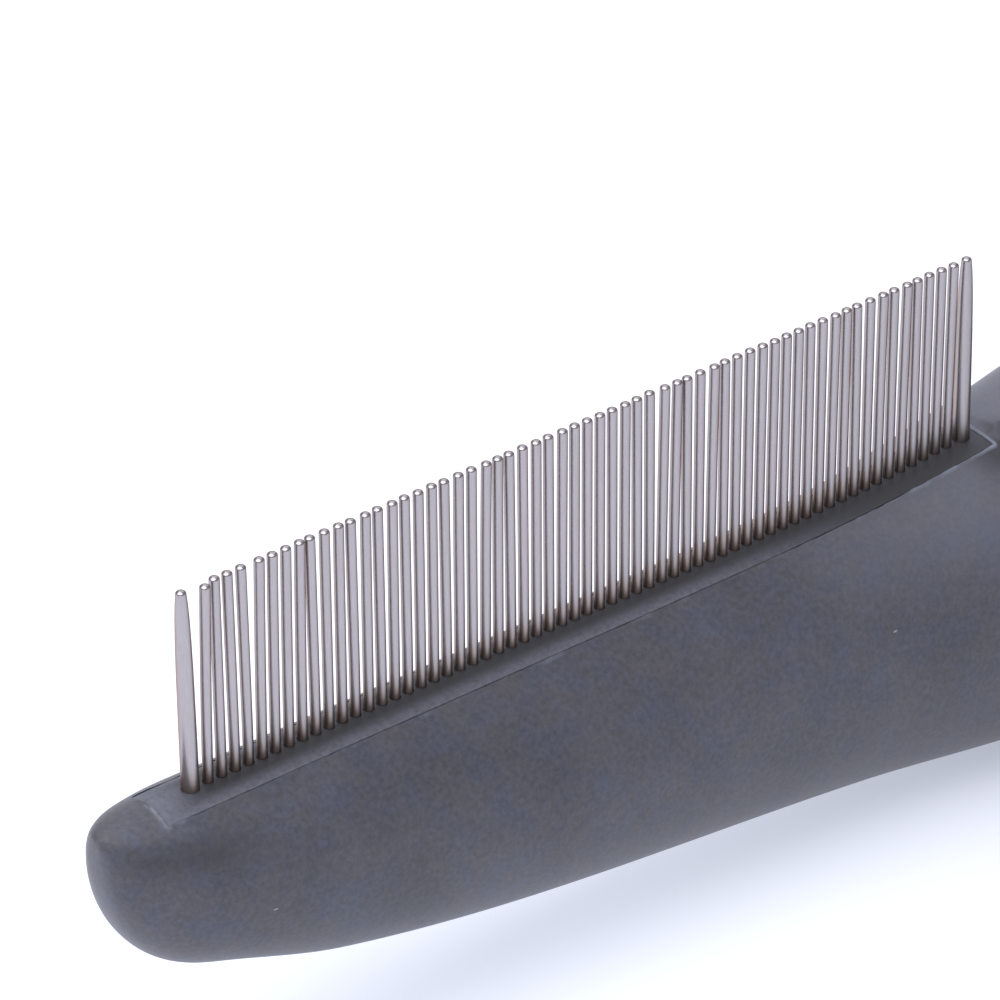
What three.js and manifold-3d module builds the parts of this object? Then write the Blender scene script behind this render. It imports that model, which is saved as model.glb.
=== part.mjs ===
// Fine-tooth grooming comb: sixty round steel wire teeth and two tapered guard pins stand in a
// hard plastic tooth bar, which is set into the top of a soft-grip handle over a rigid core.
// Millimetres, +Z up along the teeth, +X from the nose to the tail, origin under the middle.

import * as THREE from 'three';
import { ParametricGeometry } from 'three/addons/geometries/ParametricGeometry.js';
import { mergeVertices } from 'three/addons/utils/BufferGeometryUtils.js';
import Module from 'manifold-3d';

const wasm = await Module();
wasm.setup();

// ---- Driving dimensions. In this drawing x = 0 is the front guard pin, and z = 0 is level with
// the top of the nose, just above the bar.

const TOOTH_PAIRS = 30;
const TOOTH_PITCH = 1.2;
const GUARD_PITCH = 1.55; // guard pin to the tooth beside it
const TOOTH_TOP = 16.6; // height of every tip
const WIRE_RADIUS = 0.39;
const WIRE_SIDES = 8;
const BEND_STEPS = 5;

// The guard pins' bullet-shaped outline: radius, and height as a share of the way to the tip.
const GUARD_FOOT_RADIUS = 0.68;
const GUARD_OUTLINE = [
  [0.66, 0.3],
  [0.63, 0.6],
  [0.55, 0.85],
  [0.45, 0.95],
  [0.32, 0.985],
];

const FIRST_TOOTH = GUARD_PITCH;
const LAST_TOOTH = FIRST_TOOTH + (2 * TOOTH_PAIRS - 1) * TOOTH_PITCH;
const REAR_GUARD = LAST_TOOTH + GUARD_PITCH;

const BAR_HALF_WIDTH = 2.25;
const BAR_DEPTH = 5;
const BAR_FRONT = -3.5;
const BAR_REAR = REAR_GUARD + 1.25;
const STRIP_HALF_WIDTH = 2;
const STRIP_THICKNESS = 2.5;
const STRIP_TOP = -BAR_DEPTH - 0.1;
const STRIP_BOTTOM = STRIP_TOP - STRIP_THICKNESS;
const GROOVE_HALF_WIDTH = 0.5;
const GROOVE_DEPTH = 1.2;

const SOCKET_GAP = 0.08; // round each tooth
const BAR_GAP = 0.15; // round the bar
const CORE_GAP = 0.3; // between the core and the grip moulded over it
const GRIP_WALL = 1.7;
const CORE_FRONT = -3;

const NOSE = -8.4;
const NOSE_CAP = 7.8; // length of the rounded nose
const NOSE_HEIGHT = -1.1; // height that the nose closes to
const TAIL = 183;
const TAIL_CAP = 15;
const TAIL_HEIGHT = -14;
const END_SQUARENESS = 2.7; // exponent of both ends' superellipse
const REST_PLANE = -27.6; // flat land that the comb stands on

const HANG_HOLE = { x: 168, z: -14, radius: 4, lining: 1.6 };

// The handle's long sections: place along it, half width, top line, underside, and the exponent
// of the superellipse that shapes the upper half, which is most peaked in the middle of the row.
const STATIONS = [
  { x: -8.4, halfWidth: 3.6, crest: 0.1, keel: -12, squareness: 2.4 },
  { x: 0, halfWidth: 6, crest: -0.15, keel: -14.3, squareness: 2.1 },
  { x: 10, halfWidth: 7, crest: -0.15, keel: -17.7, squareness: 2 },
  { x: 27, halfWidth: 8.1, crest: -0.15, keel: -20.8, squareness: 1.8 },
  { x: 60, halfWidth: 8.9, crest: -0.35, keel: -24.8, squareness: 2 },
  { x: 76, halfWidth: 10.7, crest: 0.6, keel: -26.9, squareness: 2.3 },
  { x: 92, halfWidth: 12.2, crest: 2.2, keel: -27.9, squareness: 2.6 },
  { x: 112, halfWidth: 12.5, crest: 2.2, keel: -27.9, squareness: 2.6 },
  { x: 150, halfWidth: 11, crest: -1, keel: -26.5, squareness: 2.6 },
  { x: 183, halfWidth: 8, crest: -5.5, keel: -24.5, squareness: 2.6 },
];
const WIDEST_AT = 0.54; // share of the depth at which a section is widest
const UNDERSIDE_SQUARENESS = 2.2;

const LOFT_RINGS = 38;
const LOFT_SIDES = 24;
const INNER_RINGS = 24;
const INNER_SIDES = 16;

// ---- Geometry to solids and back.

function toSolid(geometry) {
  const bare = new THREE.BufferGeometry();
  bare.setAttribute('position', geometry.getAttribute('position'));
  bare.setIndex(geometry.getIndex());
  const merged = mergeVertices(bare, 1e-4);
  const corners = merged.getIndex().array;
  const triangles = [];
  for (let i = 0; i < corners.length; i += 3) {
    const [a, b, c] = corners.subarray(i, i + 3);
    if (a !== b && b !== c && c !== a) triangles.push(a, b, c);
  }
  return new wasm.Manifold(new wasm.Mesh({
    numProp: 3,
    vertProperties: new Float32Array(merged.getAttribute('position').array),
    triVerts: new Uint32Array(triangles),
  }));
}

function toGeometry(solid) {
  const mesh = solid.getMesh();
  const geometry = new THREE.BufferGeometry();
  geometry.setAttribute('position', new THREE.BufferAttribute(mesh.vertProperties, 3));
  geometry.setIndex(new THREE.BufferAttribute(mesh.triVerts, 1));
  geometry.computeVertexNormals();
  return geometry;
}

function block(x0, x1, halfWidth, z0, z1) {
  const geometry = new THREE.BoxGeometry(x1 - x0, 2 * halfWidth, z1 - z0);
  return toSolid(geometry.translate((x0 + x1) / 2, 0, (z0 + z1) / 2));
}

function upright(x, radius, z0, z1, sides) {
  const geometry = new THREE.CylinderGeometry(radius, radius, z1 - z0, sides);
  return toSolid(geometry.rotateX(Math.PI / 2).translate(x, 0, (z0 + z1) / 2));
}

function crosswise(x, z, radius, length) {
  const geometry = new THREE.CylinderGeometry(radius, radius, length, 24);
  return toSolid(geometry.translate(x, 0, z));
}

// ---- The handle's outer shape, and the same shape drawn in by a wall thickness.

// A cubic through the stations, with each slope taken from the two neighbours.
function along(key, x) {
  const last = STATIONS.length - 1;
  let i = 0;
  while (i < last - 1 && x > STATIONS[i + 1].x) i += 1;
  const slope = (k) => {
    const [a, b] = [STATIONS[Math.max(k - 1, 0)], STATIONS[Math.min(k + 1, last)]];
    return (b[key] - a[key]) / (b.x - a.x);
  };
  const [from, to] = [STATIONS[i], STATIONS[i + 1]];
  const span = to.x - from.x;
  const t = (x - from.x) / span;
  const ease = t * t * (3 - 2 * t);
  const bend = t * (1 - t) * ((1 - t) * slope(i) - t * slope(i + 1)) * span;
  return from[key] + (to[key] - from[key]) * ease + bend;
}

// How far the rounded ends have opened at x: 0 at the tip, 1 along the handle.
function opening(x, inset) {
  const fromNose = (x - NOSE - inset) / NOSE_CAP;
  const fromTail = (TAIL - inset - x) / TAIL_CAP;
  const depth = THREE.MathUtils.clamp(Math.min(fromNose, fromTail), 0, 1);
  return (1 - (1 - depth) ** END_SQUARENESS) ** (1 / END_SQUARENESS);
}

function superellipse(angle, exponent) {
  const round = (value) => Math.sign(value) * Math.abs(value) ** (2 / exponent);
  return [round(Math.sin(angle)), round(Math.cos(angle))];
}

function handlePoint(u, v, inset, target) {
  const [nose, tail] = [NOSE + inset, TAIL - inset];
  const x = nose + (tail - nose) * (1 - Math.cos(Math.PI * u)) / 2;
  const open = opening(x, inset);
  const closesTo = x < (nose + tail) / 2 ? NOSE_HEIGHT - inset : TAIL_HEIGHT;
  const halfWidth = (along('halfWidth', x) - inset) * open;
  const crest = closesTo + (along('crest', x) - inset - closesTo) * open;
  const keel = closesTo + (along('keel', x) + inset - closesTo) * open;
  const middle = crest - WIDEST_AT * (crest - keel);
  const angle = -2 * Math.PI * v;
  const exponent = Math.cos(angle) > 0 ? along('squareness', x) : UNDERSIDE_SQUARENESS;
  const [side, height] = superellipse(angle, exponent);
  target.set(x, halfWidth * side, middle + height * (height > 0 ? crest - middle : middle - keel));
}

function handleLoft(inset, rings, sides) {
  const surface = (u, v, target) => handlePoint(v, u, inset, target);
  return toSolid(new ParametricGeometry(surface, sides, rings));
}

const outerShape = handleLoft(0, LOFT_RINGS, LOFT_SIDES);

// ---- Teeth: each pair is one hairpin of wire, its bend locked under the bar.

// Points that the wire passes: down one leg from the tip, round the bend, up the other leg.
class HairpinPath extends THREE.Curve {
  constructor() {
    super();
    const tip = TOOTH_TOP - WIRE_RADIUS;
    const legHeights = [TOOTH_TOP, tip + 0.7 * WIRE_RADIUS, tip, -BAR_DEPTH];
    const leg = (x) => legHeights.map((z) => new THREE.Vector3(x, 0, z));
    const radius = TOOTH_PITCH / 2;
    const bend = [];
    for (let i = 1; i < BEND_STEPS; i += 1) {
      const angle = Math.PI * i / BEND_STEPS;
      const drop = radius * Math.sin(angle);
      bend.push(new THREE.Vector3(-radius * Math.cos(angle), 0, -BAR_DEPTH - drop));
    }
    this.points = [...leg(-radius), ...bend, ...leg(radius).reverse()];
    this.steps = this.points.length - 1;
  }

  getUtoTmapping(u) {
    return u;
  }

  getPoint(t, target = new THREE.Vector3()) {
    const step = Math.min(Math.floor(t * this.steps), this.steps - 1);
    return target.lerpVectors(this.points[step], this.points[step + 1], t * this.steps - step);
  }
}

function wireSection() {
  const section = new THREE.Shape();
  for (let i = 0; i < WIRE_SIDES; i += 1) {
    const angle = 2 * Math.PI * (i + 0.5) / WIRE_SIDES;
    const corner = [WIRE_RADIUS * Math.cos(angle), WIRE_RADIUS * Math.sin(angle)];
    if (i === 0) section.moveTo(...corner);
    else section.lineTo(...corner);
  }
  return section;
}

// Draws the wire's end rings in, so that each leg ends in a dome.
function roundTips(wire) {
  const position = wire.getAttribute('position');
  const tip = TOOTH_TOP - WIRE_RADIUS;
  for (let i = 0; i < position.count; i += 1) {
    const rise = Math.max((position.getZ(i) - tip) / WIRE_RADIUS, 0);
    const width = Math.sqrt(Math.max(1 - rise ** 2, 0));
    const axis = Math.sign(position.getX(i)) * TOOTH_PITCH / 2;
    if (rise > 0.01) {
      position.setX(i, axis + (position.getX(i) - axis) * width);
      position.setY(i, position.getY(i) * width);
    }
  }
  return wire;
}

function toothPair() {
  const path = new HairpinPath();
  const wire = new THREE.ExtrudeGeometry(wireSection(), { steps: path.steps, extrudePath: path });
  return toGeometry(toSolid(roundTips(wire)));
}

function guardPin() {
  const outline = GUARD_OUTLINE.map(([radius, share]) => new THREE.Vector2(radius, share * TOOTH_TOP));
  const profile = [
    new THREE.Vector2(0, -BAR_DEPTH),
    new THREE.Vector2(GUARD_FOOT_RADIUS, -BAR_DEPTH),
    new THREE.Vector2(GUARD_FOOT_RADIUS, 0),
    ...outline,
    new THREE.Vector2(0, TOOTH_TOP),
  ];
  const lathe = new THREE.LatheGeometry(profile, 12).rotateX(Math.PI / 2);
  return toGeometry(toSolid(lathe));
}

// ---- The bar that the teeth stand in, and the strip that locks their roots.

function toothBar() {
  let bar = block(BAR_FRONT, BAR_REAR, BAR_HALF_WIDTH, -BAR_DEPTH, 2).intersect(outerShape);
  const facetHalfAngle = Math.PI / WIRE_SIDES;
  for (let i = 0; i < 2 * TOOTH_PAIRS; i += 1) {
    const x = FIRST_TOOTH + i * TOOTH_PITCH;
    const socket = upright(0, WIRE_RADIUS + SOCKET_GAP, -BAR_DEPTH - 1, 1, WIRE_SIDES);
    const turned = socket.rotate([0, 0, THREE.MathUtils.radToDeg(facetHalfAngle)]);
    bar = bar.subtract(turned.translate([x, 0, 0]));
  }
  for (const x of [0, REAR_GUARD]) {
    bar = bar.subtract(upright(x, GUARD_FOOT_RADIUS + SOCKET_GAP, -BAR_DEPTH - 1, 1, 12));
  }
  return toGeometry(bar);
}

function rootStrip() {
  const strip = block(BAR_FRONT + 0.2, BAR_REAR - 0.2, STRIP_HALF_WIDTH, STRIP_BOTTOM, STRIP_TOP);
  const [from, to] = [FIRST_TOOTH - 1, LAST_TOOTH + 1];
  const groove = block(from, to, GROOVE_HALF_WIDTH, STRIP_TOP - GROOVE_DEPTH, 0);
  return toGeometry(strip.subtract(groove));
}

// ---- Handle: a rigid core, and the soft grip moulded over it.

function handleCore() {
  const front = block(-20, CORE_FRONT, 20, -40, 10);
  const pocket = block(-20, BAR_REAR + BAR_GAP, BAR_HALF_WIDTH + BAR_GAP, STRIP_BOTTOM - 0.2, 10);
  const hole = HANG_HOLE.radius + HANG_HOLE.lining + CORE_GAP;
  return toGeometry(handleLoft(GRIP_WALL + CORE_GAP, INNER_RINGS, INNER_SIDES)
    .subtract(front)
    .subtract(pocket)
    .subtract(crosswise(HANG_HOLE.x, HANG_HOLE.z, hole, 60)));
}

function softGrip() {
  const lining = crosswise(HANG_HOLE.x, HANG_HOLE.z, HANG_HOLE.radius + HANG_HOLE.lining, 60);
  const front = block(-20, CORE_FRONT - CORE_GAP, 20, -40, 10);
  const cavity = handleLoft(GRIP_WALL, INNER_RINGS, INNER_SIDES).subtract(lining).subtract(front);
  const slot = block(
    BAR_FRONT - BAR_GAP, BAR_REAR + BAR_GAP, BAR_HALF_WIDTH + BAR_GAP, STRIP_BOTTOM - 0.2, 10);
  return toGeometry(outerShape
    .subtract(cavity)
    .subtract(slot)
    .subtract(crosswise(HANG_HOLE.x, HANG_HOLE.z, HANG_HOLE.radius, 60))
    .subtract(block(-20, 200, 30, -40, REST_PLANE)));
}

// ---- Materials.

const steel = new THREE.MeshStandardMaterial({ color: 0xaba6a8, roughness: 0.35, metalness: 1 });
const barPlastic = new THREE.MeshStandardMaterial({ color: 0x4c4d53, roughness: 0.6, metalness: 0 });
const corePlastic = new THREE.MeshStandardMaterial({ color: 0x2e2f33, roughness: 0.5, metalness: 0 });
const softRubber = new THREE.MeshStandardMaterial({ color: 0x565860, roughness: 0.8, metalness: 0 });

// ---- Assembly.

const comb = new THREE.Group();
comb.position.set(-(NOSE + TAIL) / 2, 0, -REST_PLANE);

function place(name, geometry, material, x = 0) {
  const mesh = new THREE.Mesh(geometry, material);
  mesh.name = name;
  mesh.position.x = x;
  comb.add(mesh);
}

place('soft_grip', softGrip(), softRubber);
place('handle_core', handleCore(), corePlastic);
place('tooth_bar', toothBar(), barPlastic);
place('root_strip', rootStrip(), corePlastic);

const pairGeometry = toothPair();
for (let i = 0; i < TOOTH_PAIRS; i += 1) {
  const number = String(i + 1).padStart(2, '0');
  place(`tooth_pair_${number}`, pairGeometry, steel, FIRST_TOOTH + (2 * i + 0.5) * TOOTH_PITCH);
}

const guardGeometry = guardPin();
place('guard_pin_front', guardGeometry, steel, 0);
place('guard_pin_rear', guardGeometry, steel, REAR_GUARD);

export default comb;
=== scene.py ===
import math
import random

import bmesh
import bpy
from mathutils import Matrix, Quaternion, Vector, noise


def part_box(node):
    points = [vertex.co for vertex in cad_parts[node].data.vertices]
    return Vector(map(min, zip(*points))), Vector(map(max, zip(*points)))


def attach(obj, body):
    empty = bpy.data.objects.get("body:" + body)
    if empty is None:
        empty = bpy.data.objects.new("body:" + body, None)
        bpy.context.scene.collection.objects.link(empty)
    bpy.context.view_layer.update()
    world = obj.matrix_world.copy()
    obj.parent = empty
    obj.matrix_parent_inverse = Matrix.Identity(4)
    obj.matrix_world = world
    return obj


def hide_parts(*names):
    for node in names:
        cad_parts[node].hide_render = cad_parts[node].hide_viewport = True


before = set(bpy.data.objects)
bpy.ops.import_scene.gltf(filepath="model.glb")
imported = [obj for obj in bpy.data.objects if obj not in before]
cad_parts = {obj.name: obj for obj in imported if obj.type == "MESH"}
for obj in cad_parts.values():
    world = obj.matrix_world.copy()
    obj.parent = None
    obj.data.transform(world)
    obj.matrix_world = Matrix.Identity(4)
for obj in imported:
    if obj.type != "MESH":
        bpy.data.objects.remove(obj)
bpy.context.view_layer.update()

MM = 0.001


# ---- Camera: a long lens close to the comb, above the nose and to one side of it, so that the
# row of teeth runs up to the right and the handle's tail lies outside the frame.

LENS = 206
CAMERA_AZIMUTH = math.radians(-38.4)
CAMERA_ELEVATION = math.radians(32.1)
CAMERA_ROLL = math.radians(-0.4)
CAMERA_DISTANCE = 413.7 * MM
AIM_BEHIND_BAR_FRONT = 31.7 * MM
AIM_BELOW_TIPS = 3.8 * MM

bar_low, bar_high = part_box("tooth_bar")
tip_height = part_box("guard_pin_front")[1][2]
aim = Vector((bar_low[0] + AIM_BEHIND_BAR_FRONT, 0, tip_height - AIM_BELOW_TIPS))
towards_camera = Vector((
    math.sin(CAMERA_AZIMUTH) * math.cos(CAMERA_ELEVATION),
    -math.cos(CAMERA_AZIMUTH) * math.cos(CAMERA_ELEVATION),
    math.sin(CAMERA_ELEVATION),
))

camera = bpy.data.objects.new("camera", bpy.data.cameras.new("camera"))
camera.data.lens = LENS
camera.data.sensor_width = 36
camera.data.clip_start = 0.01
camera.location = aim + CAMERA_DISTANCE * towards_camera
camera.rotation_mode = "QUATERNION"
camera.rotation_quaternion = (
    towards_camera.to_track_quat("Z", "Y") @ Quaternion((0, 0, 1), CAMERA_ROLL)
)
bpy.context.scene.collection.objects.link(camera)
bpy.context.scene.camera = camera


# ---- Table and light: the comb stands on a light table of opal acrylic, under one broad soft
# lamp, with a pale wall far behind it. The room round them is dim, so that a face that looks
# straight out from the table is the darkest.

TABLE_SIZE = 4
TABLE_WHITE = "#bcbdc0"
TABLE_GLOW = "#e1e7f8"
TABLE_GLOW_STRENGTH = 0.72
# Painted shade: the panel's glow is turned down under one corner, beside the handle, standing in
# for shade on the table there. The place is given as the way from it to the middle.
TABLE_SHADE_SPOT = (-55 * MM, 40 * MM, 0)
TABLE_SHADE_SPOT_SIZE = 120 * MM
TABLE_SHADE_GLOW = 0.34
ROOM_TINT = "#f1eef4"
ROOM_LIGHT = 0.42
LAMPS = [
    # name, place, size, power in watts, tint
    ("overhead_softbox", (-0.35, -0.05, 0.9), 1.1, 14, "#f6f8ff"),
    ("pale_back_wall", (0.8, 1, 1.2), 1.4, 7, "#e9edff"),
]
SHARP_ANGLE = math.radians(40)


def linear(hex_colour):
    """An sRGB hex value as a linear RGBA colour."""
    shares = [int(hex_colour[i:i + 2], 16) / 255 for i in (1, 3, 5)]
    return (*[s / 12.92 if s <= 0.04045 else ((s + 0.055) / 1.055) ** 2.4 for s in shares], 1)


def add_node(tree, kind, inputs=(), **settings):
    """Adds one node. Each named input is a plain value or the output that feeds it."""
    made = tree.nodes.new(kind)
    for name, value in settings.items():
        setattr(made, name, value)
    for name, value in dict(inputs).items():
        if isinstance(value, bpy.types.NodeSocket):
            tree.links.new(value, made.inputs[name])
        else:
            made.inputs[name].default_value = value
    return made


def new_material(name):
    """An empty node material, and its tree."""
    material = bpy.data.materials.new(name)
    material.use_nodes = True
    material.node_tree.nodes.clear()
    return material, material.node_tree


def finish_material(tree, shader):
    """Sends the shader to the surface."""
    add_node(tree, "ShaderNodeOutputMaterial", {"Surface": shader.outputs["BSDF"]})


def new_piece(bm, name, material):
    """Turns a bmesh into an object at the origin, smooth-shaded but for its sharp edges."""
    mesh = bpy.data.meshes.new(name)
    bm.to_mesh(mesh)
    bm.free()
    mesh.materials.append(material)
    mesh.shade_smooth()
    mesh.set_sharp_from_angle(angle=SHARP_ANGLE)
    piece = bpy.data.objects.new(name, mesh)
    bpy.context.scene.collection.objects.link(piece)
    return piece


opal_acrylic, tree = new_material("opal_acrylic")
place = add_node(tree, "ShaderNodeTexCoord").outputs["Object"]
# Painted shade on the table: the glow falls to its low value round the shade spot.
from_table_shade_spot = add_node(tree, "ShaderNodeMapping", {"Vector": place, "Location": TABLE_SHADE_SPOT})
spot_distance = add_node(
    tree, "ShaderNodeVectorMath", {"Vector": from_table_shade_spot.outputs["Vector"]}, operation="LENGTH")
glow = add_node(tree, "ShaderNodeMapRange", {
    "Value": spot_distance.outputs["Value"],
    "From Min": TABLE_SHADE_SPOT_SIZE / 4,
    "From Max": TABLE_SHADE_SPOT_SIZE,
    "To Min": TABLE_SHADE_GLOW,
    "To Max": TABLE_GLOW_STRENGTH,
}, interpolation_type="SMOOTHSTEP")
finish_material(tree, add_node(tree, "ShaderNodeBsdfPrincipled", {
    "Base Color": linear(TABLE_WHITE),
    "Roughness": 0.9,
    "Specular IOR Level": 0.2,
    "Emission Color": linear(TABLE_GLOW),
    "Emission Strength": glow.outputs["Result"],
}))

bm = bmesh.new()
bmesh.ops.create_grid(bm, x_segments=1, y_segments=1, size=TABLE_SIZE / 2)
table = new_piece(bm, "light_table", opal_acrylic)

for name, place, size, power, tint in LAMPS:
    lamp = bpy.data.objects.new(name, bpy.data.lights.new(name, "AREA"))
    lamp.data.size = size
    lamp.data.energy = power
    lamp.data.color = linear(tint)[:3]
    lamp.location = place
    lamp.rotation_mode = "QUATERNION"
    lamp.rotation_quaternion = Vector(place).to_track_quat("Z", "Y")
    bpy.context.scene.collection.objects.link(lamp)

room = bpy.data.worlds.new("pale_room")
room.use_nodes = True
room.node_tree.nodes["Background"].inputs["Color"].default_value = linear(ROOM_TINT)
room.node_tree.nodes["Background"].inputs["Strength"].default_value = ROOM_LIGHT
bpy.context.scene.world = room
bpy.context.scene.view_settings.view_transform = "Standard"


# ---- Soft grip: thermoplastic rubber moulded in one shot over the core, from the blunt nose to
# the tail. Its lip closes on the tooth bar with a thin bead of flash, and it lines the hang hole.

NOSE = -8.4 * MM
TAIL = 183 * MM
NOSE_CAP = 7.8 * MM
TAIL_CAP = 15 * MM
NOSE_HEIGHT = -1.1 * MM
TAIL_HEIGHT = -14 * MM
REST_PLANE = -27.6 * MM
END_SQUARENESS = 2.7
WIDEST_AT = 0.54
UNDERSIDE_SQUARENESS = 2.2
# Place from the front guard pin, half width, top line and underside, in millimetres, and the
# exponent of the superellipse that shapes the upper half.
STATIONS = [
    (-8.4, 3.6, 0.1, -12, 2.4),
    (0, 6, -0.15, -14.3, 2.1),
    (10, 7, -0.15, -17.7, 2),
    (27, 8.1, -0.15, -20.8, 1.8),
    (60, 8.9, -0.35, -24.8, 2),
    (76, 10.7, 0.6, -26.9, 2.3),
    (92, 12.2, 2.2, -27.9, 2.6),
    (112, 12.5, 2.2, -27.9, 2.6),
    (150, 11, -1, -26.5, 2.6),
    (183, 8, -5.5, -24.5, 2.6),
]
HALF_WIDTH, CREST, KEEL, SQUARENESS = 1, 2, 3, 4

GRIP_RINGS = 190
GRIP_SIDES = 88
# Parts of the grip above these heights count as its top, round the bar and behind it.
SLOT_TOP_ABOVE = -2 * MM
HUMP_TOP_ABOVE = -12 * MM
BEAD_WIDTH = 0.45 * MM
BEAD_HEIGHT = 0.09 * MM
LIP_GAP = 0.035 * MM
LIP_WANDER = 0.16 * MM
LIP_STEP = 0.7 * MM
SLOT_DEPTH = 1.5 * MM
RIDGE_PLACE = -1.2 * MM
RIDGE_HEIGHT = 0.8 * MM
NEAR_SLOPE_WIDTH = 0.8 * MM
FAR_SLOPE_WIDTH = 2.4 * MM
RIDGE_GAP = 0.5 * MM
RIDGE_REACH = 7 * MM
RIDGE_FADES_FROM = 88 * MM
RIDGE_END = 135 * MM
# Where the mesh is scored for the ridge, in mm behind the bar and to either side of the ridge.
RIDGE_START_LINES = (0.55, 0.7, 0.85, 1, 1.3)
RIDGE_LINES = (-3.4, -2.6, -1.9, -1.2, -0.7, -0.3, -0.1, 0, 0.3, 0.9, 1.8, 3)
VALLEY_DEPTH = 0.5 * MM
VALLEY_PLACE = -3.3 * MM
VALLEY_WIDTH = 1.2 * MM
# The fold and the brow of the nose: how deep or proud, how far up its upper half and how wide,
# and the stretch in which both fade out.
NOSE_FOLD = (0.5 * MM, 0.56, 0.15)
NOSE_BROW = (0.35 * MM, 0.84, 0.1)
NOSE_FADES = (-2 * MM, 5 * MM)
# Where the flash bead grows proud and its painted highlight strong, before the bar's rear end and
# behind its front end.
REAR_FLASH = (13 * MM, 4 * MM)
FRONT_FLASH = (-0.2 * MM, 0.8 * MM)
# The painted light on the grip's top: how pale, and where it comes in and fades out along the
# handle.
PAINTED_LIGHT_SHARE = 0.4
PAINTED_LIGHT_FROM = (48 * MM, 66 * MM)
PAINTED_LIGHT_UNTIL = (80 * MM, 130 * MM)
# The painted shade: how dark, and the height and width of its band under the nose's brow; it is
# painted in the valley beside the ridge too.
PAINTED_SHADE_SHARE = 0.92
PAINTED_SHADE_BAND = (0.62, 0.15)
HANG_HOLE_PLACE = (168 * MM, -14 * MM)
HANG_HOLE_RADIUS = 4 * MM
HANG_HOLE_ROUNDING = 1.1 * MM
RIM_STEPS = 6

grip_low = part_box("soft_grip")[0]
# The drawing's zero is at the front guard pin, level with the top of the nose.
drawing_zero = Vector((grip_low[0] - NOSE, 0, grip_low[2] - REST_PLANE))


def along(column, x):
    """One column of the stations at x, in its own unit, as a cubic through them."""
    last = len(STATIONS) - 1
    i = 0
    while i < last - 1 and x > STATIONS[i + 1][0] * MM:
        i += 1

    def slope(k):
        before, after = STATIONS[max(k - 1, 0)], STATIONS[min(k + 1, last)]
        return (after[column] - before[column]) / (after[0] - before[0])

    start, end = STATIONS[i], STATIONS[i + 1]
    span = end[0] - start[0]
    t = (x / MM - start[0]) / span
    ease = t * t * (3 - 2 * t)
    bend = t * (1 - t) * ((1 - t) * slope(i) - t * slope(i + 1)) * span
    return start[column] + (end[column] - start[column]) * ease + bend


def section(x):
    """Half width, top, height of the widest line, underside and upper squareness at x."""
    depth = min(max(min((x - NOSE) / NOSE_CAP, (TAIL - x) / TAIL_CAP), 0), 1)
    opening = (1 - (1 - depth) ** END_SQUARENESS) ** (1 / END_SQUARENESS)
    closes_to = NOSE_HEIGHT if x < (NOSE + TAIL) / 2 else TAIL_HEIGHT
    half_width = along(HALF_WIDTH, x) * MM * opening
    crest = closes_to + (along(CREST, x) * MM - closes_to) * opening
    keel = closes_to + (along(KEEL, x) * MM - closes_to) * opening
    widest = crest - WIDEST_AT * (crest - keel)
    return half_width, crest, widest, keel, along(SQUARENESS, x)


def smooth_step(value, start, end):
    """0 before the start, 1 after the end, and a smooth rise between them."""
    t = min(max((value - start) / (end - start), 0), 1)
    return t * t * (3 - 2 * t)


def nose_share(x):
    """How much of the brow and fold of the nose there is at x."""
    return smooth_step(x, NOSE, NOSE + 3 * MM) * (1 - smooth_step(x, *NOSE_FADES))


def hump(value, middle, spread):
    """1 at the middle, falling off smoothly to either side over the spread."""
    return math.exp(-((value - middle) / spread) ** 2)


def skin_point(x, angle):
    """The handle's surface at x, with the angle measured from its top line."""
    half_width, crest, widest, keel, upper = section(x)
    squareness = upper if math.cos(angle) > 0 else UNDERSIDE_SQUARENESS
    side, height = (
        math.copysign(abs(value) ** (2 / squareness), value)
        for value in (math.sin(angle), math.cos(angle))
    )
    # A low brow round the flat top of the nose and a shallow fold under it.
    fold = NOSE_FOLD[0] * hump(height, *NOSE_FOLD[1:])
    brow = NOSE_BROW[0] * hump(height, *NOSE_BROW[1:])
    side *= 1 + nose_share(x) * (brow - fold) / max(half_width, MM)
    z = widest + height * ((crest - widest) if height > 0 else (widest - keel))
    return Vector((x, -half_width * side, max(z, REST_PLANE)))


def crown(x, y):
    """Height of the handle's upper surface above the point x, y."""
    half_width, crest, widest, _, squareness = section(x)
    reach = min(abs(y) / half_width, 1)
    return widest + (crest - widest) * (1 - reach ** squareness) ** (1 / squareness)


def side_of_grip(x, z):
    """Half width of the grip at x and height z."""
    half_width, crest, widest, keel, upper = section(x)
    above = z > widest
    squareness = upper if above else UNDERSIDE_SQUARENESS
    reach = (z - widest) / ((crest if above else keel) - widest)
    return half_width * (1 - min(abs(reach), 1) ** squareness) ** (1 / squareness)


def bead_and_highlight_strength(point):
    """How proud the flash bead is and how strong its painted highlight: fitful along the bar, and
    strong round its rear end.
    """
    fitful = noise.noise(Vector((point.x / (2.3 * MM), 7 * math.copysign(1, point.y), 0)))
    fine = noise.noise(Vector((point.x / (0.7 * MM), point.y / (0.7 * MM), 3)))
    rear = smooth_step(point.x, *(bar_rear - reach for reach in REAR_FLASH))
    front = 1 - smooth_step(point.x, *(bar_front + reach for reach in FRONT_FLASH))
    return max(0.35 + 0.7 * fitful + 0.9 * fine + (0.8 + 0.8 * fitful) * rear + 0.35 * front, 0)


def score(bm, wanted, place, direction):
    """Cuts the faces whose middle is wanted along one plane."""
    faces = [f for f in bm.faces if wanted(f.calc_center_median())]
    parts = {*faces, *(e for f in faces for e in f.edges), *(v for f in faces for v in f.verts)}
    bmesh.ops.bisect_plane(bm, geom=list(parts), plane_co=place, plane_no=direction, dist=1e-7)


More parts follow.
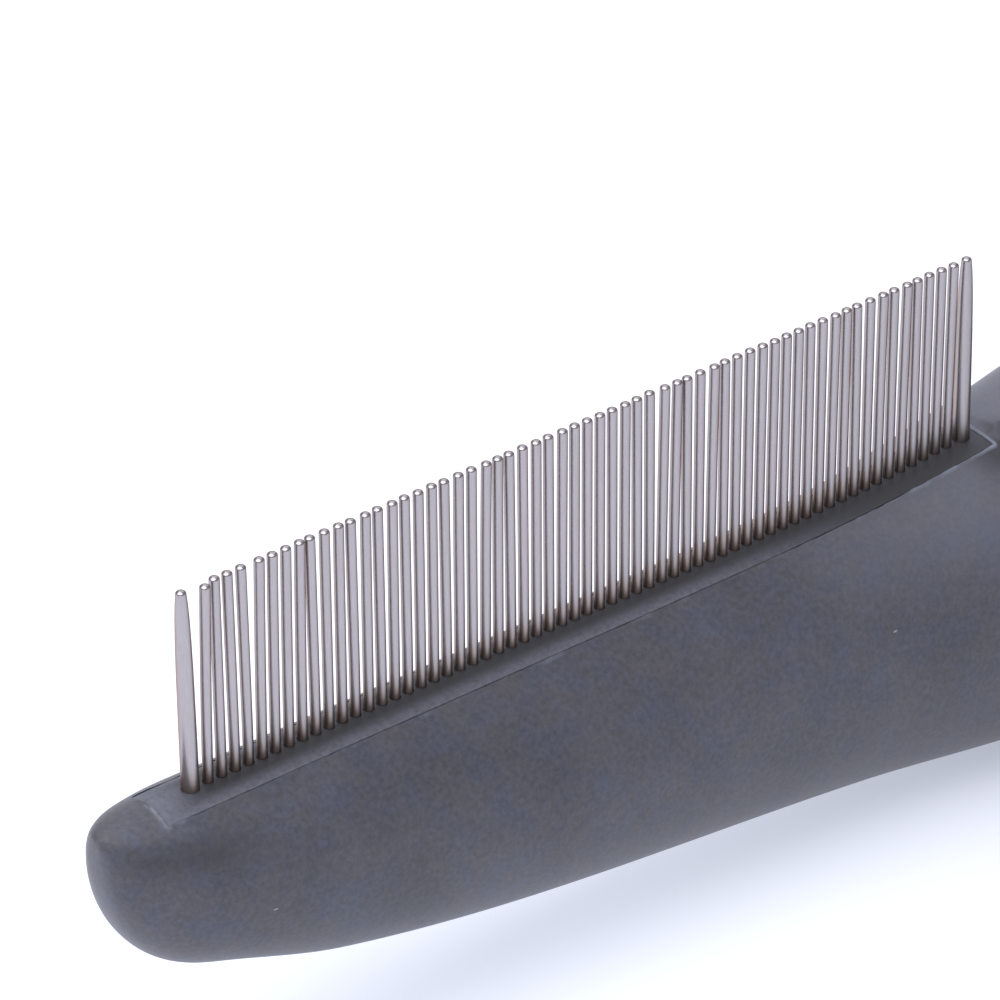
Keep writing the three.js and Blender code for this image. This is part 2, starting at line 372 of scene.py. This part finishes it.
def behind_bar(point):
    """Whether the point is on the top of the grip behind the bar."""
    along_ridge = bar_rear + RIDGE_GAP < point.x < RIDGE_END
    return along_ridge and point.z > HUMP_TOP_ABOVE and abs(point.y) < RIDGE_REACH


def just_behind_bar(point):
    """Whether the point is within a few millimetres of the bar's rear end."""
    return behind_bar(point) and point.x < bar_rear + 4 * MM


def inside_slot(point, margin):
    """Whether the point is above the bar's outline grown by the margin."""
    return (
        bar_front - margin < point.x < bar_rear + margin
        and abs(point.y) < bar_half_width + margin
        and point.z > SLOT_TOP_ABOVE
    )


def near_slot(point):
    """Whether the point is on the top of the grip close to the bar."""
    return inside_slot(point, 2 * MM)


def outside_slot(point):
    """How far the point is outside the bar's outline, seen from above."""
    beyond_x = max(bar_front - point.x, point.x - bar_rear, 0)
    beyond_y = max(abs(point.y) - bar_half_width, 0)
    return math.hypot(beyond_x, beyond_y)


def cut_slot(bm):
    """Scores the grip round the bar, raises the bead, and turns the lip down into the slot."""
    for step in range(int((bar_rear - bar_front) / LIP_STEP)):
        score(bm, near_slot, (bar_front + (step + 0.5) * LIP_STEP, 0, 0), (1, 0, 0))
    for offset in (LIP_GAP, 0.25 * BEAD_WIDTH, 0.5 * BEAD_WIDTH, 0.75 * BEAD_WIDTH, BEAD_WIDTH):
        for place, direction in (
            ((bar_front - offset, 0, 0), (1, 0, 0)),
            ((bar_rear + offset, 0, 0), (1, 0, 0)),
            ((0, bar_half_width + offset, 0), (0, 1, 0)),
            ((0, -bar_half_width - offset, 0), (0, 1, 0)),
        ):
            score(bm, near_slot, place, direction)
    flash_highlight = bm.verts.layers.float.new("flash_highlight")
    for vert in bm.verts:
        distance = outside_slot(vert.co)
        if distance < BEAD_WIDTH and vert.co.z > SLOT_TOP_ABOVE:
            strength = bead_and_highlight_strength(vert.co)
            bulge = math.sin(math.pi * (distance / BEAD_WIDTH) ** 0.8)
            vert.co.z += BEAD_HEIGHT * strength * bulge
            # Painted highlight: the bead is painted pale where it is proud.
            vert[flash_highlight] = min(max(strength - 0.75, 0), 1) * bulge
    gone = [f for f in bm.faces if inside_slot(f.calc_center_median(), 0.9 * LIP_GAP)]
    bmesh.ops.delete(bm, geom=gone, context="FACES")
    rim = [e for e in bm.edges if e.is_boundary]
    for vert in {v for e in rim for v in e.verts}:
        wander = LIP_WANDER * noise.noise(Vector((vert.co.x / (1.6 * MM), vert.co.y / MM, 5)))
        if bar_front < vert.co.x < bar_rear:
            vert.co.y += math.copysign(wander, vert.co.y)
    lip = bmesh.ops.extrude_edge_only(bm, edges=rim)
    corners = [v for v in lip["geom"] if isinstance(v, bmesh.types.BMVert)]
    bmesh.ops.translate(bm, verts=corners, vec=(0, 0, -SLOT_DEPTH))


def raise_ridge(bm):
    """Raises the parting ridge behind the bar, with a valley on its near side, and fades both."""
    for line in RIDGE_LINES:
        score(bm, behind_bar, (0, RIDGE_PLACE + line * MM, 0), (0, 1, 0))
    for line in RIDGE_START_LINES:
        score(bm, just_behind_bar, (bar_rear + line * MM, 0, 0), (1, 0, 0))
    start = bar_rear + RIDGE_GAP
    for vert in bm.verts:
        x, y, _ = vert.co
        if behind_bar(vert.co):
            strength = smooth_step(x, start, start + 0.8 * MM)
            strength *= 1 - smooth_step(x, RIDGE_FADES_FROM, RIDGE_END)
            beside = y - RIDGE_PLACE
            slope_width = FAR_SLOPE_WIDTH if beside > 0 else NEAR_SLOPE_WIDTH
            ridge = RIDGE_HEIGHT * math.exp(-abs(beside) / slope_width)
            valley = VALLEY_DEPTH * hump(y, VALLEY_PLACE, VALLEY_WIDTH)
            vert.co.z = crown(x, y) + strength * (ridge - valley)


def mark_painted_light_and_shade(bm):
    """Marks where the shoulder is painted pale as painted light, and where painted shade darkens
    the fold and valley.
    """
    painted_light = bm.verts.layers.float.new("painted_light")
    painted_shade = bm.verts.layers.float.new("painted_shade")
    for vert in bm.verts:
        x, y, z = vert.co
        crest, widest = section(x)[1:3]
        on_top = smooth_step(z, -9 * MM, -2 * MM)
        on_ridge = smooth_step(y, VALLEY_PLACE, RIDGE_PLACE)
        before_valley = 1 - smooth_step(x, bar_rear - 4 * MM, bar_rear)
        painted_light_along = smooth_step(x, *PAINTED_LIGHT_FROM) * (1 - smooth_step(x, *PAINTED_LIGHT_UNTIL))
        clear_of_valley = max(on_ridge, 1 - smooth_step(x, bar_rear - 5 * MM, bar_rear + 8 * MM))
        # Painted light: the top of the grip is painted paler, most on the ridge's far side.
        vert[painted_light] = PAINTED_LIGHT_SHARE * painted_light_along * on_top * clear_of_valley
        height = (z - widest) / (crest - widest + 0.1 * MM)
        under_brow = hump(height, *PAINTED_SHADE_BAND)
        beside_ridge = hump(y, VALLEY_PLACE, 1.6 * VALLEY_WIDTH) * (z > HUMP_TOP_ABOVE)
        in_valley = beside_ridge * (1 - before_valley) * (1 - smooth_step(x, 84 * MM, 110 * MM))
        # Painted shade: dark under the nose's brow and in the valley beside the ridge.
        vert[painted_shade] = PAINTED_SHADE_SHARE * max(0.6 * nose_share(x) * under_brow, in_valley)


def open_hang_hole(bm):
    """Opens a round hole through both sides, with rounded rims, and joins them by its wall."""
    x0, z0 = HANG_HOLE_PLACE
    outer = HANG_HOLE_RADIUS + HANG_HOLE_ROUNDING

    def reach(point):
        return math.hypot(point.x - x0, point.z - z0)

    gone = [f for f in bm.faces if reach(f.calc_center_median()) < outer]
    bmesh.ops.delete(bm, geom=gone, context="FACES")
    rims = []
    for side in (-1, 1):
        rim = [
            e for e in bm.edges
            if e.is_boundary and reach(e.verts[0].co) < 2 * outer and e.verts[0].co.y * side > 0
        ]
        for vert in {v for e in rim for v in e.verts}:
            angle = math.atan2(vert.co.z - z0, vert.co.x - x0)
            x, z = x0 + outer * math.cos(angle), z0 + outer * math.sin(angle)
            vert.co = Vector((x, side * side_of_grip(x, z), z))
        for step in range(1, RIM_STEPS + 1):
            turn = math.radians(90 * step / RIM_STEPS)
            lip = bmesh.ops.extrude_edge_only(bm, edges=rim)["geom"]
            rim = [e for e in lip if isinstance(e, bmesh.types.BMEdge) and e.is_boundary]
            radius = outer - HANG_HOLE_ROUNDING * math.sin(turn)
            for vert in {v for e in rim for v in e.verts}:
                angle = math.atan2(vert.co.z - z0, vert.co.x - x0)
                x, z = x0 + outer * math.cos(angle), z0 + outer * math.sin(angle)
                y = side_of_grip(x, z) - HANG_HOLE_ROUNDING * (1 - math.cos(turn))
                x, z = x0 + radius * math.cos(angle), z0 + radius * math.sin(angle)
                vert.co = Vector((x, side * y, z))
        rims += rim
    bmesh.ops.bridge_loops(bm, edges=rims)


bar_front = bar_low[0] - drawing_zero.x
bar_rear = bar_high[0] - drawing_zero.x
bar_half_width = bar_high[1]

bm = bmesh.new()
bmesh.ops.create_uvsphere(bm, u_segments=GRIP_SIDES, v_segments=GRIP_RINGS, radius=1)
for vert in bm.verts:
    share = (1 + vert.co.z) / 2
    vert.co = skin_point(NOSE + (TAIL - NOSE) * share, math.atan2(vert.co.y, vert.co.x))
raise_ridge(bm)
cut_slot(bm)
mark_painted_light_and_shade(bm)
open_hang_hole(bm)
bmesh.ops.translate(bm, verts=bm.verts, vec=drawing_zero)
bmesh.ops.recalc_face_normals(bm, faces=bm.faces)

# Soft-touch TPE: matt, slightly cool dark grey, cloudy in tone. The spark-eroded grain mottles it,
# browner in some patches and bluer in others, and specks of lint cling to it. Painted light: its
# top is painted paler behind the bar, and the bead of flash round the bar is painted pale as a
# highlight. Painted shade: it is painted dark under the nose's brow and in the valley beside the
# ridge.
GRIP_DARK = "#34353c"
GRIP_PALE = "#51535d"
COOL_PATCH = "#eef3ff"
WARM_PATCH = "#fff6f0"
PAINTED_LIGHT_GREY = "#666872"
PAINTED_SHADE_DARK = "#1e1f23"
FLASH_HIGHLIGHT_GREY = "#787e8b"
LINT_WHITE = "#888a92"
CLOUD_SIZE = 9 * MM
PATCH_SIZE = 2.6 * MM
MOTTLE_SIZE = 0.42 * MM
GRAIN_SIZE = 0.22 * MM
LINT_SPACING = 3.2 * MM

soft_touch, tree = new_material("soft_touch_tpe")
place = add_node(tree, "ShaderNodeTexCoord").outputs["Object"]
clouds = add_node(tree, "ShaderNodeTexNoise", {
    "Vector": place, "Scale": 1 / CLOUD_SIZE, "Detail": 5, "Roughness": 0.6,
})
patches = add_node(tree, "ShaderNodeTexNoise", {
    "Vector": place, "Scale": 1 / PATCH_SIZE, "Detail": 4, "Roughness": 0.65,
})
mottle = add_node(tree, "ShaderNodeTexNoise", {
    "Vector": place, "Scale": 1 / MOTTLE_SIZE, "Detail": 3, "Roughness": 0.6,
})
grain = add_node(tree, "ShaderNodeTexNoise", {
    "Vector": place, "Scale": 1 / GRAIN_SIZE, "Detail": 3, "Roughness": 0.55,
})
cloud_share = add_node(tree, "ShaderNodeMapRange", {
    "Value": clouds.outputs["Fac"], "From Min": 0.3, "From Max": 0.7,
})
mottle_share = add_node(tree, "ShaderNodeMapRange", {
    "Value": mottle.outputs["Fac"], "From Min": 0.32, "From Max": 0.68,
})
share = add_node(tree, "ShaderNodeMix", {
    "Factor": 0.55, "A": cloud_share.outputs["Result"], "B": mottle_share.outputs["Result"],
})
grey = add_node(tree, "ShaderNodeMix", {
    "Factor": share.outputs["Result"], "A": linear(GRIP_DARK), "B": linear(GRIP_PALE),
}, data_type="RGBA")
patch_share = add_node(tree, "ShaderNodeMapRange", {
    "Value": patches.outputs["Fac"], "From Min": 0.4, "From Max": 0.6,
})
patch_tint = add_node(tree, "ShaderNodeMix", {
    "Factor": patch_share.outputs["Result"], "A": linear(COOL_PATCH), "B": linear(WARM_PATCH),
}, data_type="RGBA")
tinted = add_node(tree, "ShaderNodeMix", {
    "Factor": 1, "A": grey.outputs["Result"], "B": patch_tint.outputs["Result"],
}, data_type="RGBA", blend_type="MULTIPLY")
# Painted light: a paler grey is mixed in on the grip's top.
painted_light = add_node(tree, "ShaderNodeAttribute", attribute_name="painted_light")
light_painted = add_node(tree, "ShaderNodeMix", {
    "Factor": painted_light.outputs["Fac"], "A": tinted.outputs["Result"], "B": linear(PAINTED_LIGHT_GREY),
}, data_type="RGBA")
# Painted shade: a near black is mixed in under the brow and in the valley.
painted_shade = add_node(tree, "ShaderNodeAttribute", attribute_name="painted_shade")
shade_painted = add_node(tree, "ShaderNodeMix", {
    "Factor": painted_shade.outputs["Fac"], "A": light_painted.outputs["Result"], "B": linear(PAINTED_SHADE_DARK),
}, data_type="RGBA")
# Painted highlight: a pale grey is mixed in along the flash bead.
flash_highlight = add_node(tree, "ShaderNodeAttribute", attribute_name="flash_highlight")
highlighted = add_node(tree, "ShaderNodeMix", {
    "Factor": flash_highlight.outputs["Fac"], "A": shade_painted.outputs["Result"], "B": linear(FLASH_HIGHLIGHT_GREY),
}, data_type="RGBA")
lint_map = add_node(tree, "ShaderNodeMapping", {
    "Vector": place, "Rotation": (0.5, 0.9, 0.4),
    "Scale": (0.35 / LINT_SPACING, 1 / LINT_SPACING, 1 / LINT_SPACING),
})
lint = add_node(tree, "ShaderNodeTexVoronoi", {"Vector": lint_map.outputs["Vector"], "Scale": 1})
lint_share = add_node(tree, "ShaderNodeMapRange", {
    "Value": lint.outputs["Distance"], "From Min": 0.03, "From Max": 0.014,
})
surface = add_node(tree, "ShaderNodeMix", {
    "Factor": lint_share.outputs["Result"], "A": highlighted.outputs["Result"], "B": linear(LINT_WHITE),
}, data_type="RGBA")
bump = add_node(tree, "ShaderNodeBump", {
    "Strength": 0.35, "Distance": 0.03 * MM, "Height": grain.outputs["Fac"],
})
finish_material(tree, add_node(tree, "ShaderNodeBsdfPrincipled", {
    "Base Color": surface.outputs["Result"],
    "Roughness": 0.6,
    "Sheen Weight": 0.25,
    "Sheen Roughness": 0.5,
    "Normal": bump.outputs["Normal"],
}))

soft_grip = new_piece(bm, "soft_grip_skin", soft_touch)
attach(soft_grip, "root")
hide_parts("soft_grip")


# ---- Tooth bar: a hard nylon insert with one socket for each tooth. Its top follows the
# handle's crown, and the grip's lip closes round it.

TOOTH_COUNT = 60
TOOTH_PITCH = 1.2 * MM
GUARD_PITCH = 1.55 * MM
SOCKET_RADIUS = 0.44 * MM
GUARD_SOCKET_RADIUS = 0.7 * MM
SOCKET_SIDES = 16
CELL_HALF_WIDTH = 1 * MM
BAR_DEPTH = 5 * MM
# Where the painted sheen along the bar's edges fades out along the row, and where that of its end
# does.
EDGE_SHEEN = (45 * MM, 66 * MM)
END_SHEEN = 2 * MM

tooth_places = [GUARD_PITCH + i * TOOTH_PITCH for i in range(TOOTH_COUNT)]
rear_guard = tooth_places[-1] + GUARD_PITCH


def add_cell(bm, x, half_length, radius):
    """One rectangle of the bar's top round a socket."""
    ring = bmesh.ops.create_circle(bm, segments=SOCKET_SIDES, radius=radius)["verts"]
    rim = list({e for v in ring for e in v.link_edges})
    grown = bmesh.ops.extrude_edge_only(bm, edges=rim)["geom"]
    for vert in (v for v in grown if isinstance(v, bmesh.types.BMVert)):
        widest = max(abs(vert.co.x), abs(vert.co.y))
        vert.co = Vector((
            vert.co.x / widest * half_length,
            vert.co.y / widest * CELL_HALF_WIDTH,
            0,
        ))
        ring.append(vert)
    bmesh.ops.translate(bm, verts=ring, vec=(x, 0, 0))


def grow_edge(bm, axis, limit, place):
    """Extrudes the sheet's boundary at the limit along one axis out to the place."""
    edge = [
        e for e in bm.edges
        if e.is_boundary and all(abs(v.co[axis] - limit) < 0.01 * MM for v in e.verts)
    ]
    grown = bmesh.ops.extrude_edge_only(bm, edges=edge)["geom"]
    for vert in (v for v in grown if isinstance(v, bmesh.types.BMVert)):
        vert.co[axis] = place


bm = bmesh.new()
guard_half_length = GUARD_PITCH - TOOTH_PITCH / 2
add_cell(bm, 0, guard_half_length, GUARD_SOCKET_RADIUS)
add_cell(bm, rear_guard, guard_half_length, GUARD_SOCKET_RADIUS)
for x in tooth_places:
    add_cell(bm, x, TOOTH_PITCH / 2, SOCKET_RADIUS)
bmesh.ops.remove_doubles(bm, verts=bm.verts, dist=0.01 * MM)
for side in (-1, 1):
    limit = side * CELL_HALF_WIDTH
    for share in (0.3, 0.6, 0.85, 1):
        place_y = side * (CELL_HALF_WIDTH + share * (bar_half_width - CELL_HALF_WIDTH))
        grow_edge(bm, 1, limit, place_y)
        limit = place_y
for limit, end in ((-guard_half_length, bar_front), (rear_guard + guard_half_length, bar_rear)):
    for share in (0.3, 0.6, 0.9, 1):
        place_x = limit + share * (end - limit) if share < 1 else end
        grow_edge(bm, 0, limit, place_x)
        limit = place_x
body = bmesh.ops.extrude_face_region(bm, geom=bm.faces)["geom"]
lower = [v for v in body if isinstance(v, bmesh.types.BMVert)]
bmesh.ops.translate(bm, verts=lower, vec=(0, 0, -BAR_DEPTH))
painted_sheen = bm.verts.layers.float.new("painted_sheen")
# Painted reflection: paler towards the bar's edges and at its front end.
for vert in bm.verts:
    if vert.co.z > -BAR_DEPTH / 2:
        vert.co.z = crown(vert.co.x, vert.co.y)
    edge_share = smooth_step(abs(vert.co.y), 0.9 * MM, bar_half_width)
    vert[painted_sheen] = edge_share * (1 - smooth_step(vert.co.x, *EDGE_SHEEN))
    vert[painted_sheen] = max(vert[painted_sheen], 1 - smooth_step(vert.co.x, bar_front, END_SHEEN))
bmesh.ops.translate(bm, verts=bm.verts, vec=drawing_zero)
bmesh.ops.recalc_face_normals(bm, faces=bm.faces)

# Moulded nylon: harder and a little glossier than the grip, with rub marks along the row. Painted
# reflection: it is painted paler towards its edges and at its front end, standing in for the bright
# surroundings reflected there, but not between the feet.
BAR_DARK = "#26272b"
BAR_PALE = "#34363b"
BAR_PAINTED_SHEEN = "#5e606b"
RUB_WIDTH = MM / 1.5
RUB_LENGTH = 10 * RUB_WIDTH

bar_nylon, tree = new_material("moulded_nylon")
place = add_node(tree, "ShaderNodeTexCoord").outputs["Object"]
stretched = add_node(tree, "ShaderNodeMapping", {
    "Vector": place, "Scale": (1 / RUB_LENGTH, 1 / RUB_WIDTH, 1 / RUB_WIDTH),
})
rubs = add_node(tree, "ShaderNodeTexNoise", {
    "Vector": stretched.outputs["Vector"], "Scale": 1, "Detail": 4, "Roughness": 0.6,
})
mottle = add_node(tree, "ShaderNodeTexNoise", {
    "Vector": place, "Scale": 1 / MOTTLE_SIZE, "Detail": 3, "Roughness": 0.6,
})
grey = add_node(tree, "ShaderNodeMix", {
    "Factor": rubs.outputs["Fac"], "A": linear(BAR_DARK), "B": linear(BAR_PALE),
}, data_type="RGBA")
sheen_mask = add_node(tree, "ShaderNodeAttribute", attribute_name="painted_sheen")
patchy = add_node(tree, "ShaderNodeMapRange", {
    "Value": mottle.outputs["Fac"], "From Min": 0.3, "From Max": 0.6, "To Min": 0.55,
})
sheen_share = add_node(tree, "ShaderNodeMath", {
    0: sheen_mask.outputs["Fac"], 1: patchy.outputs["Result"],
}, operation="MULTIPLY")
# Painted reflection: a pale grey is mixed in towards the bar's edges.
sheened_grey = add_node(tree, "ShaderNodeMix", {
    "Factor": sheen_share.outputs["Value"], "A": grey.outputs["Result"], "B": linear(BAR_PAINTED_SHEEN),
}, data_type="RGBA")
bump = add_node(tree, "ShaderNodeBump", {
    "Strength": 0.3, "Distance": 0.03 * MM, "Height": rubs.outputs["Fac"],
})
finish_material(tree, add_node(tree, "ShaderNodeBsdfPrincipled", {
    "Base Color": sheened_grey.outputs["Result"],
    "Roughness": 0.5,
    "Normal": bump.outputs["Normal"],
}))

tooth_bar = new_piece(bm, "tooth_bar_insert", bar_nylon)
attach(tooth_bar, "root")
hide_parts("tooth_bar")


# ---- Teeth: sixty round teeth of drawn stainless wire, two from each hairpin, with domed and
# polished tips. The long close row never stands quite true, so each tooth leans a little.

WIRE_RADIUS = 0.41 * MM
WIRE_SIDES = 16
WIRE_LENGTHS = 6
BEND_STEPS = 8
DOME_SHARE = 0.6
DOME_RINGS = 7
LEAN = 0.07 * MM
LEAN_CURVE = 1.4
# The first few teeth have been knocked: how far each tip stands off along and across the row.
KNOCKED = [
    (0.09, -0.43),
    (0.02, 0.03),
    (-0.1, 0),
    (-0.1, 0.02),
    (0.3, 0),
    (0.22, -0.03),
    (0.22, 0),
    (0.24, 0.02),
]
teeth = random.Random(62)

tooth_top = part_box("tooth_pair_01")[1][2] - drawing_zero.z

# Stainless: bright, faintly blue face on and browner at a glancing angle, with fine die lines.
# Brown is painted round the feet, a painted reflection of the dark bar.
STEEL_PALE = "#bcb7b9"
STEEL_DARK = "#979191"
STEEL_EDGE = "#d2ae92"
FOOT_REFLECTION_BROWN = "#9c8676"
FOOT_REFLECTION_HEIGHT = 2.6 * MM
DIE_LINE = 0.05 * MM

drawn_steel, tree = new_material("drawn_stainless_wire")
place = add_node(tree, "ShaderNodeTexCoord").outputs["Object"]
stretched = add_node(tree, "ShaderNodeMapping", {
    "Vector": place, "Scale": (1 / DIE_LINE, 1 / DIE_LINE, 0.03 / DIE_LINE),
})
lines = add_node(tree, "ShaderNodeTexNoise", {
    "Vector": stretched.outputs["Vector"], "Scale": 1, "Detail": 3, "Roughness": 0.6,
})
colour = add_node(tree, "ShaderNodeMix", {
    "Factor": lines.outputs["Fac"], "A": linear(STEEL_DARK), "B": linear(STEEL_PALE),
}, data_type="RGBA")
height = add_node(tree, "ShaderNodeSeparateXYZ", {"Vector": place})
# Painted reflection: the steel is painted brown round the feet.
foot_reflection_share = add_node(tree, "ShaderNodeMapRange", {
    "Value": height.outputs["Z"],
    "From Min": drawing_zero.z + FOOT_REFLECTION_HEIGHT,
    "From Max": drawing_zero.z - 0.5 * MM,
    "To Max": 0.75,
}, interpolation_type="SMOOTHSTEP")
foot_reflected = add_node(tree, "ShaderNodeMix", {
    "Factor": foot_reflection_share.outputs["Result"], "A": colour.outputs["Result"], "B": linear(FOOT_REFLECTION_BROWN),
}, data_type="RGBA")
roughness = add_node(tree, "ShaderNodeMapRange", {
    "Value": lines.outputs["Fac"], "To Min": 0.2, "To Max": 0.42,
})
finish_material(tree, add_node(tree, "ShaderNodeBsdfPrincipled", {
    "Base Color": foot_reflected.outputs["Result"],
    "Specular Tint": linear(STEEL_EDGE),
    "Metallic": 1,
    "Roughness": roughness.outputs["Result"],
}))


def raise_ring(bm, ring, rise, scale=1):
    """Extrudes an open ring of edges upwards, scales it about its own centre, and returns it."""
    grown = bmesh.ops.extrude_edge_only(bm, edges=ring)["geom"]
    verts = [v for v in grown if isinstance(v, bmesh.types.BMVert)]
    bmesh.ops.translate(bm, verts=verts, vec=(0, 0, rise))
    centre = sum((v.co for v in verts), Vector()) / len(verts)
    bmesh.ops.scale(bm, verts=verts, vec=(scale, scale, 1), space=Matrix.Translation(-centre))
    return [e for e in grown if isinstance(e, bmesh.types.BMEdge) and e.is_boundary]


def close_tip(bm, ring, radius):
    """Domes the top of a tooth, in rings that climb a flattened quarter circle."""
    turns = [math.radians(90 * i / DOME_RINGS) for i in range(DOME_RINGS)]
    for before, after in zip(turns, turns[1:]):
        rise = DOME_SHARE * radius * (math.sin(after) - math.sin(before))
        ring = raise_ring(bm, ring, rise, math.cos(after) / math.cos(before))
    bmesh.ops.contextual_create(bm, geom=ring)


def hairpin(number):
    """One wire bent into two teeth, about the middle of the numbered pair."""
    middle = (tooth_places[2 * number - 2] + tooth_places[2 * number - 1]) / 2
    bm = bmesh.new()
    foot = Matrix.Translation((-TOOTH_PITCH / 2, 0, -BAR_DEPTH))
    bmesh.ops.create_circle(bm, segments=WIRE_SIDES, radius=WIRE_RADIUS, matrix=foot)
    bmesh.ops.spin(
        bm, geom=bm.edges[:], cent=(0, 0, -BAR_DEPTH), axis=(0, 1, 0), angle=-math.pi,
        steps=BEND_STEPS, use_duplicate=False)
    straight = tooth_top - DOME_SHARE * WIRE_RADIUS + BAR_DEPTH
    for side in (-1, 1):
        ring = [e for e in bm.edges if e.is_boundary and side * e.verts[0].co.x > 0]
        for _ in range(WIRE_LENGTHS):
            ring = raise_ring(bm, ring, straight / WIRE_LENGTHS)
        close_tip(bm, ring, WIRE_RADIUS)
    leans = {side: (teeth.gauss(0, LEAN), teeth.gauss(0, 0.5 * LEAN)) for side in (-1, 1)}
    for side, tooth in ((-1, 2 * number - 2), (1, 2 * number - 1)):
        if tooth < len(KNOCKED):
            leans[side] = tuple(MM * share for share in KNOCKED[tooth])
    for vert in bm.verts:
        height = max(vert.co.z / tooth_top, 0) ** LEAN_CURVE
        lean_x, lean_y = leans[1 if vert.co.x > 0 else -1]
        vert.co += Vector((lean_x, lean_y, 0)) * height
    bmesh.ops.translate(bm, verts=bm.verts, vec=drawing_zero + Vector((middle, 0, 0)))
    bmesh.ops.recalc_face_normals(bm, faces=bm.faces)
    return bm


for number in range(1, TOOTH_COUNT // 2 + 1):
    pair = new_piece(hairpin(number), f"hairpin_{number:02d}", drawn_steel)
    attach(pair, "root")
    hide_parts(f"tooth_pair_{number:02d}")


# ---- Guard pins: one thicker ground pin at each end of the row, which takes the knocks. Each
# is parallel for half its height and then draws in to a small domed tip.

GUARD_OUTLINE = [
    # radius and height, in millimetres
    (0.68, -5),
    (0.68, 0),
    (0.66, 5),
    (0.63, 10),
    (0.59, 12.4),
    (0.54, 14.2),
    (0.48, 15.4),
    (0.43, 16),
]
GUARD_TIP_RADIUS = 0.4 * MM
GUARD_SIDES = 24
FRONT_GUARD_LEAN = -0.12 * MM
REAR_GUARD_LEAN = -0.2 * MM


def guard_pin(x, lean):
    """A ground pin at x whose tip stands off by the lean."""
    bm = bmesh.new()
    foot = Matrix.Translation((0, 0, -BAR_DEPTH))
    radius, height = GUARD_OUTLINE[0][0] * MM, GUARD_OUTLINE[0][1] * MM
    bmesh.ops.create_circle(bm, cap_ends=True, segments=GUARD_SIDES, radius=radius, matrix=foot)
    ring = bm.edges[:]
    for next_radius, next_height in GUARD_OUTLINE[1:]:
        rise = next_height * MM - height
        ring = raise_ring(bm, ring, rise, next_radius * MM / radius)
        radius, height = next_radius * MM, next_height * MM
    rise = tooth_top - DOME_SHARE * GUARD_TIP_RADIUS - height
    ring = raise_ring(bm, ring, rise, GUARD_TIP_RADIUS / radius)
    close_tip(bm, ring, GUARD_TIP_RADIUS)
    for vert in bm.verts:
        vert.co.x += lean * max(vert.co.z / tooth_top, 0)
    bmesh.ops.translate(bm, verts=bm.verts, vec=drawing_zero + Vector((x, 0, 0)))
    bmesh.ops.recalc_face_normals(bm, faces=bm.faces)
    return bm


for node, x, lean in (
    ("guard_pin_front", 0, FRONT_GUARD_LEAN),
    ("guard_pin_rear", rear_guard, REAR_GUARD_LEAN),
):
    guard = new_piece(guard_pin(x, lean), f"{node}_ground", drawn_steel)
    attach(guard, "root")
    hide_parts(node)


# ---- Core and root strip: the rigid parts that the grip hides. Both are glass-filled
# polypropylene, moulded black, with short pale fibres just showing at the skin.

CORE_BLACK = "#242529"
FIBRE_GREY = "#3c3d42"
FIBRE_SIZE = 0.8 * MM

filled_plastic, tree = new_material("glass_filled_polypropylene")
place = add_node(tree, "ShaderNodeTexCoord").outputs["Object"]
stretched = add_node(tree, "ShaderNodeMapping", {"Vector": place, "Scale": (0.25, 1, 1)})
fibres = add_node(tree, "ShaderNodeTexNoise", {
    "Vector": stretched.outputs["Vector"], "Scale": 1 / FIBRE_SIZE, "Detail": 6,
})
colour = add_node(tree, "ShaderNodeMix", {
    "Factor": fibres.outputs["Fac"], "A": linear(CORE_BLACK), "B": linear(FIBRE_GREY),
}, data_type="RGBA")
bump = add_node(tree, "ShaderNodeBump", {
    "Strength": 0.3, "Distance": 0.04 * MM, "Height": fibres.outputs["Fac"],
})
finish_material(tree, add_node(tree, "ShaderNodeBsdfPrincipled", {
    "Base Color": colour.outputs["Result"],
    "Roughness": 0.5,
    "Normal": bump.outputs["Normal"],
}))

for name in ("handle_core", "root_strip"):
    hidden_part = bpy.data.objects[name]
    hidden_part.data.materials.clear()
    hidden_part.data.materials.append(filled_plastic)
